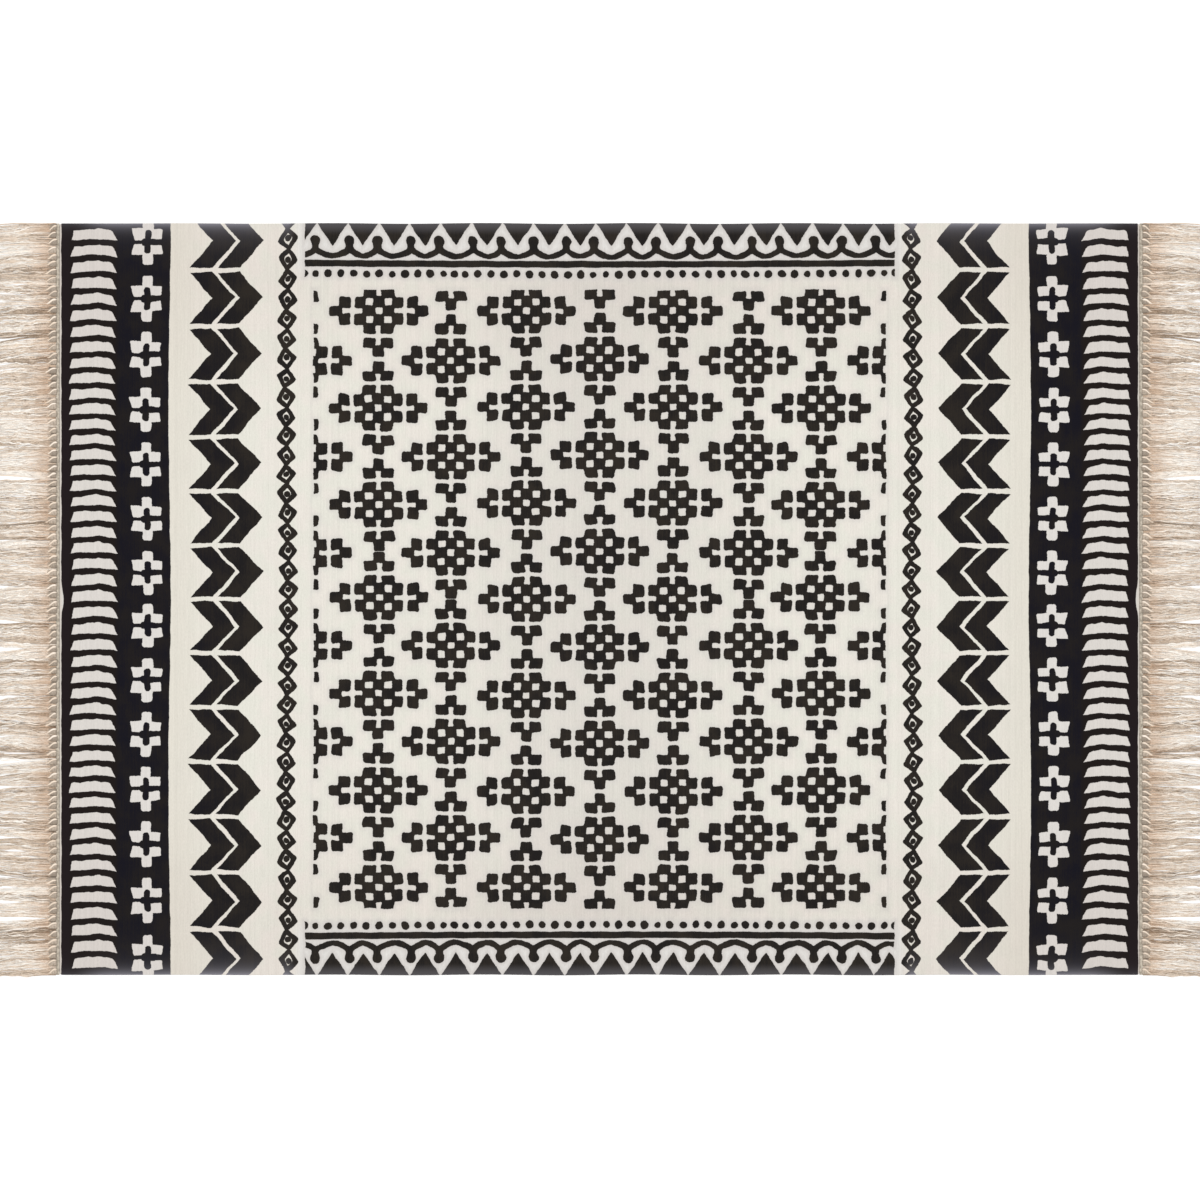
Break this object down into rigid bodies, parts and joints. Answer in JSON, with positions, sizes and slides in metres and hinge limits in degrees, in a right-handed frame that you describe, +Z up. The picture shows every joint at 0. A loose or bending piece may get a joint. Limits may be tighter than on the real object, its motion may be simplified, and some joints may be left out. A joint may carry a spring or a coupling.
{
  "type": "cotton rug",
  "caption": "Flat-woven oblong cotton rug, ecru with a black geometric print, with a corded beige fringe along both short ends.",
  "frame": {"origin": "centre of the rug's underside, on the floor", "axes": "+X along the rug's length towards the right-hand fringe, +Y across its width, +Z up out of the printed face"},
  "size_m": [2.2506, 1.3936, 0.006],
  "materials": {
    "printed_cotton": "matt flat-woven ecru cotton printed in black",
    "fringe_cotton": "soft beige cotton yarn with a slight sheen"
  },
  "bodies": {
    "root": {"rug_cloth": "printed_cotton", "fringe_left": "fringe_cotton", "fringe_right": "fringe_cotton"}
  },
  "joints": []
}
